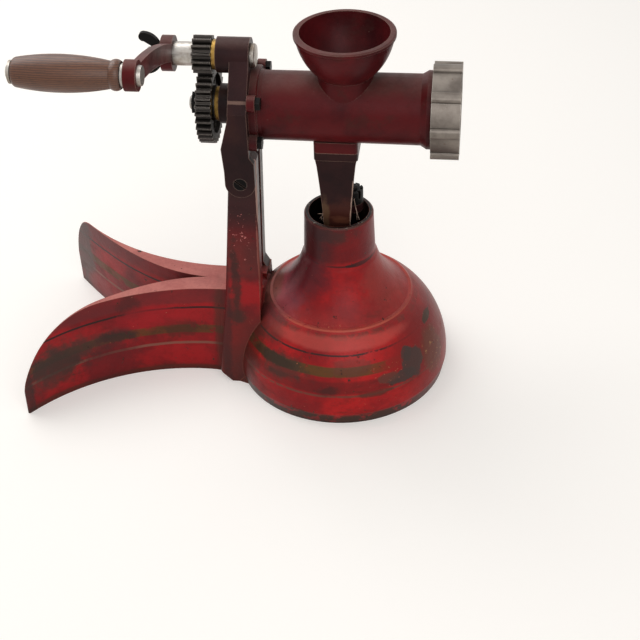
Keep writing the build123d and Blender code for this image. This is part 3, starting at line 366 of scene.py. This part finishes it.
def machined(name, plain, stain, rough, axis_z, axis_y=0.0):
    """Turned metal: fine rings round an axis along X, with water stains."""
    material, tree, shader = new_material(name)
    shader.inputs["Metallic"].default_value = 1.0
    shift = (0.0, -axis_y, -axis_z)
    centred = add(tree, "ShaderNodeMapping", {"Vector": place(tree), "Location": shift}).outputs[0]
    parts = add(tree, "ShaderNodeSeparateXYZ", {0: centred})
    around = add(tree, "ShaderNodeCombineXYZ", {"Y": parts.outputs["Y"], "Z": parts.outputs["Z"]})
    radius = add(tree, "ShaderNodeVectorMath", {0: around.outputs[0]}, operation="LENGTH").outputs["Value"]
    along = plus(tree, radius, parts.outputs["X"])
    line = add(tree, "ShaderNodeCombineXYZ", {"X": along})
    rings = noise(tree, 2600.0, 3.0, 0.7, line.outputs[0])
    cloud = step(tree, noise(tree, 48.0, 7.0, 0.65), 0.42, 0.72)
    colour = mix(tree, cloud, plain, stain)
    # Painted shade and dirt in corners
    shade_and_dirt = use(tree, shade_and_grime, Reach=0.005, Amount=0.6)["Mask"]
    colour = mix(tree, shade_and_dirt, colour, rgb(60, 48, 40))
    roughness = level(tree, plus(tree, times(tree, rings, 0.5), cloud), rough, rough + 0.3)
    set_surface(tree, shader, colour, roughness, rings, 0.00006)
    return material


def hardwood(name, centre):
    """Turned hardwood, dark with use, its grain along X."""
    material, tree, shader = new_material(name)
    shader.inputs["Coat Weight"].default_value = 0.15
    shader.inputs["Coat Roughness"].default_value = 0.35
    # The heart of the wood lies outside the grip, so its rings run as long curves
    heart = (0.0, 0.02 - centre[1], 0.03 - centre[2])
    inputs = {"Vector": place(tree), "Location": heart, "Scale": (0.12, 1.0, 1.0)}
    stretched = add(tree, "ShaderNodeMapping", inputs).outputs[0]
    bands = {"Vector": stretched, "Scale": 190.0, "Distortion": 2.2, "Detail": 4.0, "Detail Scale": 1.6}
    rings = add(tree, "ShaderNodeTexWave", bands, wave_type="RINGS", rings_direction="X").outputs["Fac"]
    pores = {"Vector": place(tree), "Scale": (0.06, 1.0, 1.0)}
    fibre = noise(tree, 2200.0, 3.0, 0.7, add(tree, "ShaderNodeMapping", pores).outputs[0])
    colour = mix(tree, rings, rgb(112, 66, 36), rgb(74, 38, 20))
    colour = mix(tree, step(tree, fibre, 0.5, 0.72), colour, rgb(48, 25, 14))
    handled = step(tree, noise(tree, 30.0, 4.0, 0.5), 0.3, 0.75)
    colour = mix(tree, times(tree, handled, 0.35), colour, rgb(54, 30, 18))
    # Painted shade and dirt in corners
    shade_and_dirt = use(tree, shade_and_grime, Reach=0.006, Amount=0.8)["Mask"]
    colour = mix(tree, shade_and_dirt, colour, rgb(26, 15, 10))
    roughness = level(tree, handled, 0.34, 0.52)
    set_surface(tree, shader, colour, roughness, times(tree, fibre, -0.6), 0.0002)
    return material


ink_black = rgb(34, 18, 18)
olive = rgb(84, 62, 26)
worn_line = rgb(136, 88, 74)
undercoat_and_shade = rgb(84, 36, 26)
bare_iron = rgb(66, 50, 46)
dark_maroon = rgb(48, 14, 18)
dirt_and_shade_brown = rgb(66, 42, 30)
orange_fleck = rgb(188, 104, 74)
pink_fleck = rgb(206, 122, 116)
pale_chip = rgb(224, 214, 206)

bell_paint = worn_red(
    "bell red",
    reds=(rgb(134, 14, 19), rgb(184, 25, 26)),
    stripes=[
        (0.0325, 0.0440, 0.0010, 0.26, 0.0030, rgb(88, 20, 19), 0.62),
        (0.1280, 0.1750, 0.0010, 0.00, 0.0060, rgb(84, 12, 17), 0.72),
        (0.0490, 0.0570, 0.0007, 0.34, 0.0012, olive, 0.88),
        # Painted shadow below the ring's edge
        (0.0760, 0.0795, 0.0010, 0.44, 0.0012, undercoat_and_shade, 0.75),
        # A painted highlight, with worn paint, along the ring's edge
        (0.0811, 0.0824, 0.0000, 0.32, 0.0002, rgb(206, 108, 84), 0.5),
        (0.0303, 0.0325, 0.0006, 0.36, 0.0008, rgb(104, 62, 50), 0.75),
        (0.0655, 0.0668, 0.0004, 0.40, 0.0004, ink_black, 0.95),
        (-0.0200, 0.0090, 0.0026, 0.40, 0.0040, rgb(54, 32, 17), 0.94),
        (0.1664, 0.2000, 0.0004, 0.00, 0.0006, rgb(58, 42, 36), 0.9),
        # Painted contact shadow along the bottom rim
        (-0.0200, 0.0012, 0.0002, 0.00, 0.0008, rgb(42, 26, 18), 0.85),
        (0.1268, 0.1284, 0.0005, 0.40, 0.0006, ink_black, 0.75),
    ],
    patches=[
        # The right-hand side, where the olive band is worn away and the red is darker with painted shade
        ((0.080, -0.045, 0.053), (0.034, 0.045, 0.012), 0.3, 0.8, rgb(146, 24, 24), 0.9),
        ((0.100, 0.000, 0.040), (0.030, 0.060, 0.060), 0.2, 1.2, rgb(108, 20, 18), 0.7),
        # A painted highlight: a lighter belt in front, where the flank turns up to the light
        ((0.005, -0.075, 0.0738), (0.060, 0.030, 0.0034), 0.2, 0.8, rgb(206, 88, 78), 0.45),
        # A worn triangle down to grey iron
        ((0.0705, -0.059, 0.046), (0.010, 0.013, 0.013), 0.35, 0.2, bare_iron, 0.92),
        ((0.066, -0.063, 0.057), (0.005, 0.008, 0.006), 0.35, 0.2, bare_iron, 0.85),
        ((0.062, -0.071, 0.039), (0.018, 0.013, 0.005), 0.35, 0.2, bare_iron, 0.92),
        ((0.050, -0.079, 0.043), (0.009, 0.008, 0.004), 0.4, 0.4, rgb(92, 54, 44), 0.8),
        # Worn gilding
        ((0.088, -0.034, 0.043), (0.010, 0.014, 0.018), 0.35, 0.7, rgb(92, 52, 34), 0.65),
        ((0.080, -0.016, 0.066), (0.005, 0.011, 0.0035), 0.35, 0.2, rgb(56, 38, 22), 0.95),
        # The worn left of the belly
        ((-0.046, -0.080, 0.050), (0.014, 0.018, 0.006), 1.0, 1.4, rgb(50, 42, 34), 0.75),
        # The neck and the cone, with a painted lilac sheen on the cone's left
        ((-0.010, -0.030, 0.160), (0.015, 0.012, 0.005), 0.9, 1.4, rgb(56, 36, 32), 0.7),
        ((0.022, -0.023, 0.1282), (0.016, 0.014, 0.0018), 0.35, 0.3, ink_black, 0.85),
        ((-0.055, -0.012, 0.088), (0.022, 0.024, 0.014), 0.3, 1.2, rgb(120, 78, 90), 0.6),
        ((-0.066, 0.002, 0.082), (0.014, 0.020, 0.008), 0.3, 0.9, rgb(98, 70, 56), 0.75),
        ((-0.032, -0.008, 0.146), (0.018, 0.034, 0.032), 0.25, 1.2, dark_maroon, 0.85),
        ((-0.030, -0.012, 0.116), (0.020, 0.034, 0.012), 0.25, 1.0, rgb(84, 20, 30), 0.6),
        ((0.036, -0.004, 0.135), (0.012, 0.030, 0.036), 0.2, 1.0, rgb(96, 22, 26), 0.5),
        # Dirt and painted shade where the uprights meet the bell, and single spots
        ((-0.066, -0.040, 0.070), (0.016, 0.018, 0.010), 0.6, 1.2, dirt_and_shade_brown, 0.4),
        ((-0.080, -0.048, 0.045), (0.012, 0.014, 0.030), 0.5, 1.0, rgb(58, 34, 26), 0.6),
        ((-0.060, -0.072, 0.0530), (0.022, 0.016, 0.004), 0.5, 0.5, rgb(52, 36, 24), 0.75),
        ((-0.001, -0.0955, 0.0367), (0.006, 0.010, 0.003), 0.8, 1.2, rgb(54, 26, 22), 0.7),
        ((0.018, -0.086, 0.056), (0.014, 0.010, 0.006), 0.5, 0.6, rgb(96, 48, 38), 0.5),
        ((0.040, -0.088, 0.0315), (0.014, 0.010, 0.0022), 0.5, 0.4, rgb(84, 40, 30), 0.7),
    ],
    flecks=[
        ((0.047, -0.078, 0.047), (0.016, 0.014, 0.008), 420.0, 0.26, orange_fleck),
        ((0.042, -0.085, 0.024), (0.018, 0.014, 0.006), 420.0, 0.24, orange_fleck),
        ((-0.010, -0.074, 0.082), (0.050, 0.016, 0.004), 460.0, 0.24, orange_fleck),
        ((-0.046, -0.082, 0.056), (0.022, 0.018, 0.006), 380.0, 0.20, orange_fleck),
        ((0.088, -0.034, 0.043), (0.010, 0.016, 0.018), 240.0, 0.34, rgb(144, 96, 58)),
        ((0.000, 0.000, 0.1684), (0.040, 0.040, 0.0012), 340.0, 0.30, rgb(150, 138, 126)),
    ],
    dust_and_sheen_colour=rgb(214, 100, 92),
    dust_and_sheen_amount=0.34,
    last=[
        # The dusty right of the cone, the neck's brown rim, and painted shade that blackens the inside of
        # the neck
        ((0.050, -0.012, 0.106), (0.018, 0.030, 0.014), 0.4, 1.2, rgb(160, 62, 54), 0.5),
        ((0.000, 0.000, 0.1692), (0.040, 0.040, 0.0018), 0.1, 0.4, rgb(64, 46, 39), 0.9),
        ((0.000, 0.000, 0.150), (0.0288, 0.0288, 0.400), 0.0, 0.04, rgb(11, 8, 8), 1.0),
    ],
)
leg_paint = worn_red(
    "leg red",
    reds=(rgb(116, 15, 21), rgb(164, 23, 28)),
    stripes=[
        (0.0395, 0.0480, 0.0008, 0.36, 0.0016, olive, 0.72),
        (0.0275, 0.0302, 0.0006, 0.34, 0.0010, worn_line, 0.8),
        (0.0700, 0.0950, 0.0016, 0.10, 0.0040, rgb(104, 38, 40), 0.6),
        (0.0662, 0.0682, 0.0006, 0.26, 0.0005, ink_black, 0.95),
        (-0.0200, 0.0035, 0.0010, 0.20, 0.0030, undercoat_and_shade, 0.8),
    ],
    patches=[
        # Smoky ends, redder above and below
        ((-0.244, -0.074, 0.043), (0.024, 0.032, 0.008), 1.0, 1.8, rgb(62, 44, 38), 0.75),
        ((-0.256, -0.086, 0.034), (0.015, 0.020, 0.010), 1.0, 1.8, rgb(56, 42, 36), 0.75),
        ((-0.2790, -0.104, 0.040), (0.004, 0.008, 0.050), 0.2, 0.6, rgb(48, 34, 32), 0.7),
        ((-0.271, 0.093, 0.050), (0.013, 0.013, 0.036), 0.45, 0.9, rgb(84, 66, 64), 0.85),
        ((-0.253, 0.0745, 0.008), (0.016, 0.020, 0.012), 0.3, 0.8, rgb(160, 60, 62), 0.6),
        # Smudges, and painted shade at the leg's end where it turns in to the upright
        ((-0.194, -0.037, 0.076), (0.006, 0.010, 0.008), 1.1, 1.4, rgb(64, 28, 26), 0.6),
        ((-0.204, -0.043, 0.0465), (0.009, 0.012, 0.004), 1.1, 1.4, rgb(44, 34, 30), 0.75),
        ((-0.150, -0.028, 0.046), (0.013, 0.012, 0.005), 1.1, 1.4, rgb(54, 32, 22), 0.6),
        ((-0.112, -0.022, 0.048), (0.003, 0.018, 0.030), 0.5, 1.4, rgb(82, 44, 34), 0.6),
        ((-0.215, -0.050, 0.018), (0.018, 0.022, 0.016), 0.5, 1.0, rgb(84, 20, 24), 0.6),
        ((-0.175, -0.035, 0.060), (0.022, 0.022, 0.008), 0.5, 1.0, rgb(170, 24, 34), 0.5),
    ],
    flecks=[
        ((-0.226, -0.058, 0.055), (0.030, 0.030, 0.016), 380.0, 0.16, orange_fleck),
        ((-0.255, 0.080, 0.070), (0.026, 0.020, 0.030), 380.0, 0.18, pink_fleck),
        ((-0.190, 0.000, 0.088), (0.120, 0.130, 0.005), 240.0, 0.16, rgb(112, 58, 52)),
    ],
    dust_and_sheen_colour=rgb(206, 128, 118),
    dust_and_sheen_amount=0.85,
)
upright_paint = worn_red(
    "upright red",
    reds=(rgb(98, 15, 20), rgb(146, 22, 26)),
    stripes=[
        (0.1250, 0.3000, 0.0060, 0.00, 0.0620, rgb(40, 14, 16), 0.95),
        (-0.0200, 0.0300, 0.0040, 0.00, 0.0180, rgb(84, 36, 28), 0.6),
    ],
    patches=[
        ((-0.085, -0.036, 0.097), (0.020, 0.010, 0.010), 0.5, 1.0, rgb(170, 20, 26), 0.7),
        ((-0.088, -0.042, 0.053), (0.020, 0.014, 0.013), 0.6, 1.4, rgb(104, 30, 25), 0.7),
        ((-0.088, -0.036, 0.134), (0.020, 0.010, 0.013), 0.6, 1.4, rgb(84, 38, 34), 0.6),
        ((-0.091, -0.035, 0.112), (0.0026, 0.010, 0.020), 1.0, 1.2, rgb(44, 26, 22), 0.7),
        ((-0.093, -0.038, 0.082), (0.004, 0.009, 0.009), 1.2, 1.8, rgb(60, 34, 28), 0.6),
        ((-0.089, -0.040, 0.073), (0.003, 0.009, 0.004), 1.2, 1.8, rgb(60, 34, 28), 0.5),
        # Painted shade: the far upright darkened nearly to black
        ((-0.088, 0.038, 0.150), (0.030, 0.016, 0.120), 0.3, 1.0, rgb(30, 14, 14), 0.95),
        # Painted shade down the front upright's left edge
        ((-0.103, -0.036, 0.080), (0.004, 0.010, 0.090), 0.5, 1.0, rgb(52, 26, 26), 0.6),
        ((-0.0668, -0.0340, 0.200), (0.0012, 0.0026, 0.040), 0.2, 0.3, rgb(186, 150, 138), 0.8),
        ((-0.0690, -0.0340, 0.120), (0.0010, 0.0022, 0.050), 0.3, 0.3, rgb(150, 90, 80), 0.7),
    ],
    flecks=[
        ((-0.086, -0.035, 0.168), (0.009, 0.008, 0.016), 300.0, 0.28, pink_fleck),
        ((-0.086, -0.035, 0.143), (0.009, 0.008, 0.012), 340.0, 0.26, pink_fleck),
        ((-0.086, -0.040, 0.075), (0.016, 0.012, 0.030), 420.0, 0.16, orange_fleck),
        ((-0.074, 0.034, 0.176), (0.0050, 0.010, 0.016), 420.0, 0.36, pale_chip),
    ],
    dust_and_sheen_colour=rgb(196, 112, 104),
    dust_and_sheen_amount=0.3,
    brown=0.3,
)

head_paint = worn_maroon("head maroon", rgb(52, 14, 17), rgb(90, 22, 25))
post_paint = worn_maroon(
    "post brown",
    rgb(30, 15, 17),
    rgb(50, 25, 25),
    patches=[
        ((0.003, -0.017, 0.164), (0.014, 0.006, 0.013), 0.6, 1.4, rgb(76, 38, 30), 0.7),
        ((0.005, -0.017, 0.1672), (0.006, 0.006, 0.0016), 0.9, 1.2, rgb(112, 66, 48), 0.55),
        ((0.002, -0.017, 0.1700), (0.006, 0.006, 0.0010), 0.9, 1.2, rgb(108, 66, 50), 0.4),
        ((-0.0105, -0.017, 0.168), (0.0022, 0.006, 0.013), 0.6, 1.2, rgb(104, 80, 58), 0.55),
        ((0.0147, -0.0165, 0.193), (0.0011, 0.0040, 0.012), 0.2, 0.3, rgb(178, 150, 136), 0.85),
        ((0.0135, -0.0165, 0.178), (0.0011, 0.0040, 0.012), 0.2, 0.3, rgb(182, 154, 140), 0.85),
        ((0.0124, -0.0165, 0.165), (0.0011, 0.0040, 0.012), 0.2, 0.3, rgb(178, 146, 130), 0.85),
    ],
    edge=rgb(140, 112, 98),
    dust_and_sheen_amount=0.2,
)
yoke_paint = worn_maroon("yoke brown", rgb(32, 19, 20), rgb(52, 28, 29), dust_and_sheen_amount=0.25)

black_iron = iron("black iron", rgb(6, 5, 5), rgb(15, 13, 12), rgb(60, 54, 50), 0.0, 0.45, 0.12, 0.7)
# The screw's pale worn edges also stand in for a painted glint along its slot
screw_iron = iron("screw iron", rgb(5, 4, 4), rgb(12, 10, 10), rgb(92, 78, 72), 0.0, 0.5, 0.08, 0.6)
worn_iron = iron("worn iron", rgb(98, 90, 84), rgb(134, 126, 118), rgb(176, 170, 162), 0.9, 0.42)
gear_iron = iron("greasy iron", rgb(46, 42, 40), rgb(74, 68, 64), rgb(150, 144, 136), 0.8, 0.38)
axis_of_auger = 0.272
steel = machined("steel", rgb(186, 182, 176), rgb(132, 118, 104), 0.22, axis_of_auger)
tinned = machined("tinned steel", rgb(176, 172, 166), rgb(126, 116, 106), 0.36, axis_of_auger)
brass = machined("brass", rgb(176, 140, 74), rgb(116, 86, 44), 0.3, axis_of_auger)
wood = hardwood("grip wood", [(a + b) / 2 for a, b in zip(*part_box("grip"))])

finishes = {
    "bell": bell_paint,
    "leg_fork": leg_paint,
    "uprights": upright_paint,
    "gear_yoke": yoke_paint,
    "centre_post": post_paint,
    "barrel": head_paint,
    "crank_arm": head_paint,
    "post_stud": black_iron,
    "post_nut": black_iron,
    "post_screws": black_iron,
    "cheek_screws": screw_iron,
    "flange_bolts": black_iron,
    "gear_nut": black_iron,
    "wing_nut": black_iron,
    "auger_bush": brass,
    "crank_bush": brass,
    "cutter_plate": steel,
    "plate_pin": steel,
    "gear_key": steel,
    "knife": steel,
    "crank_shaft": steel,
    "grip_spindle": steel,
    "auger": tinned,
    "auger_gear": gear_iron,
    "pinion": gear_iron,
    "ring_nut": worn_iron,
    "grip": wood,
}
for name, node in nodes.items():
    for slot in node.material_slots:
        slot.material = finishes[name]

# ---------------------------------------------------------------- added pieces


def new_piece(name, data, material, body):
    """Puts a finished mesh or curve in the scene, riding on a body."""
    data.materials.append(material)
    piece = bpy.data.objects.new(name, data)
    scene.collection.objects.link(piece)
    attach(piece, body)


def thread(name, start, along, radius, pitch, turns, body, material):
    """A helical ridge round a rod, from its start along its axis, closed at both ends."""
    start, along = Vector(start), Vector(along)
    side = along.orthogonal().normalized()
    root, crest = radius - pitch * 0.1, radius + pitch * 0.32
    mesh = bmesh.new()
    corners = (side * root - along * pitch * 0.4, side * crest, side * root + along * pitch * 0.4)
    mesh.faces.new([mesh.verts.new(start + corner) for corner in corners])
    steps = round(turns * 32)
    rise = along * pitch / 32
    whole = mesh.verts[:] + mesh.edges[:] + mesh.faces[:]
    bmesh.ops.spin(mesh, geom=whole, cent=start, axis=along, dvec=rise, angle=2 * pi * turns, steps=steps)
    bmesh.ops.recalc_face_normals(mesh, faces=mesh.faces)
    data = bpy.data.meshes.new(name)
    mesh.to_mesh(data)
    mesh.free()
    new_piece(name, data, material, body)


def wisps(name, strands, body, material):
    """Strands of lint, each a row of points with a thickness at each end."""
    data = bpy.data.curves.new(name, "CURVE")
    data.dimensions = "3D"
    data.bevel_depth = 0.0004
    data.bevel_resolution = 2
    data.use_fill_caps = True
    for points in strands:
        spline = data.splines.new("NURBS")
        spline.points.add(len(points) - 1)
        for at, (x, y, z, thick) in zip(spline.points, points):
            at.co = (x / 1000, y / 1000, z / 1000, 1.0)
            at.radius = thick
        spline.order_u = 3
        spline.use_endpoint_u = True
    new_piece(name, data, material, body)


def lint_grey():
    """Dusty lint: pale, rough and without gloss."""
    material, tree, shader = new_material("lint")
    shader.inputs["Specular IOR Level"].default_value = 0.1
    cloud = step(tree, noise(tree, 400.0, 4.0, 0.6), 0.35, 0.65)
    colour = mix(tree, cloud, rgb(120, 96, 82), rgb(178, 154, 140))
    roughness = level(tree, cloud, 0.8, 0.95)
    set_surface(tree, shader, colour, roughness, cloud, 0.0002)
    return material


lint = lint_grey()
thread(
    "stud_thread",
    start=(0.012, 0.010, 0.1852),
    along=(0, 0, 1),
    radius=0.0038,
    pitch=0.00125,
    turns=1.8,
    body="stand",
    material=black_iron,
)
wisps(
    "lint_by_post",
    [
        [
            (-11.2, -15.2, 180.0, 0.5), (-11.8, -15.5, 175.0, 1.1),
            (-12.6, -14.6, 171.0, 1.2), (-15.8, -12.8, 166.5, 0.5),
        ],
        [
            (-12.0, -15.2, 174.5, 0.7), (-13.6, -14.0, 172.0, 1.0),
            (-16.0, -12.4, 171.4, 0.8), (-17.6, -11.4, 170.2, 0.4),
        ],
        [
            (-11.6, -15.4, 172.0, 0.8), (-12.4, -15.2, 168.0, 1.1),
            (-12.6, -14.8, 165.0, 0.8), (-11.6, -14.6, 162.6, 0.4),
        ],
        [(-13.0, -14.6, 170.6, 0.6), (-14.6, -13.4, 168.0, 0.8), (-14.2, -13.0, 164.6, 0.4)],
    ],
    "stand",
    lint,
)
wisps(
    "lint_strand",
    [
        [
            (14.6, -9.0, 186.5, 0.6), (15.6, -8.6, 178.0, 1.0),
            (17.0, -8.2, 171.0, 0.9), (18.8, -8.0, 163.6, 0.7),
        ],
        [(16.6, -8.4, 173.0, 0.5), (17.2, -8.8, 168.0, 0.8), (16.8, -9.4, 163.8, 0.4)],
    ],
    "stand",
    lint,
)

# ---------------------------------------------------------------- floor, light and camera


def make_floor():
    """A pale sweep that shows white to the camera and still takes the object's shadow."""
    mesh = bmesh.new()
    bmesh.ops.create_grid(mesh, x_segments=1, y_segments=1, size=6.0)
    data = bpy.data.meshes.new("floor")
    mesh.to_mesh(data)
    mesh.free()
    floor = bpy.data.objects.new("floor", data)
    scene.collection.objects.link(floor)
    material, tree, shader = new_material("floor white")
    shader.inputs["Base Color"].default_value = (0.80, 0.772, 0.730, 1.0)
    shader.inputs["Roughness"].default_value = 0.9
    shader.inputs["Specular IOR Level"].default_value = 0.1
    rays = add(tree, "ShaderNodeLightPath").outputs
    seen = plus(tree, rays["Is Camera Ray"], rays["Is Glossy Ray"], clamp=True)
    glow = times(tree, seen, 0.31)
    lift = add(tree, "ShaderNodeEmission", {"Color": (1.0, 0.985, 0.97, 1.0), "Strength": glow})
    both = add(tree, "ShaderNodeAddShader", {0: shader.outputs[0], 1: lift.outputs[0]})
    tree.links.new(both.outputs[0], tree.nodes["Material Output"].inputs["Surface"])
    data.materials.append(material)


def make_world():
    """White where it is seen or reflected, and a softer light where it only fills."""
    world = bpy.data.worlds.new("studio")
    scene.world = world
    world.use_nodes = True
    tree = world.node_tree
    rays = add(tree, "ShaderNodeLightPath").outputs
    seen = plus(tree, rays["Is Camera Ray"], rays["Is Glossy Ray"], clamp=True)
    seen = plus(tree, seen, rays["Is Transmission Ray"], clamp=True)
    sky = tree.nodes["Background"]
    sky.inputs["Color"].default_value = (1.0, 0.99, 0.98, 1.0)
    tree.links.new(level(tree, seen, 0.42, 1.0), sky.inputs["Strength"])


def make_lamp(name, spot, target, size, watts):
    """A square soft lamp at a spot, turned to its target."""
    data = bpy.data.lights.new(name, "AREA")
    data.size = size
    data.energy = watts
    lamp = bpy.data.objects.new(name, data)
    lamp.location = spot
    lamp.rotation_euler = (Vector(target) - Vector(spot)).to_track_quat("-Z", "Y").to_euler()
    scene.collection.objects.link(lamp)


def make_camera():
    """Looks down at the stand from the front, a little to the right of square."""
    data = bpy.data.cameras.new("camera")
    data.lens = 78.75
    data.sensor_width = 36.0
    data.clip_start = 0.02
    data.clip_end = 60.0
    camera = bpy.data.objects.new("camera", data)
    stand_turn = radians(6.5)
    down = radians(38.2)
    aim = radians(-1.11) - stand_turn
    roll = radians(1.97)
    distance, height = 1.040, 0.862
    forward = Vector((sin(aim) * cos(down), cos(aim) * cos(down), -sin(down)))
    level_right = Vector((cos(aim), -sin(aim), 0.0))
    level_down = forward.cross(level_right)
    right = level_right * cos(roll) + level_down * sin(roll)
    up = level_right * sin(roll) - level_down * cos(roll)
    eye = Vector((distance * sin(stand_turn), -distance * cos(stand_turn), height))
    camera.matrix_world = Matrix((right, up, -forward)).transposed().to_4x4()
    camera.location = eye
    scene.collection.objects.link(camera)
    scene.camera = camera


make_floor()
make_world()
middle = (0.0, 0.0, 0.1)
make_lamp("key", (-0.9, 0.6, 1.5), middle, size=1.4, watts=16.0)
make_lamp("front fill", (0.5, -1.4, 1.3), middle, size=1.4, watts=11.0)
make_camera()
scene.view_settings.view_transform = "Standard"
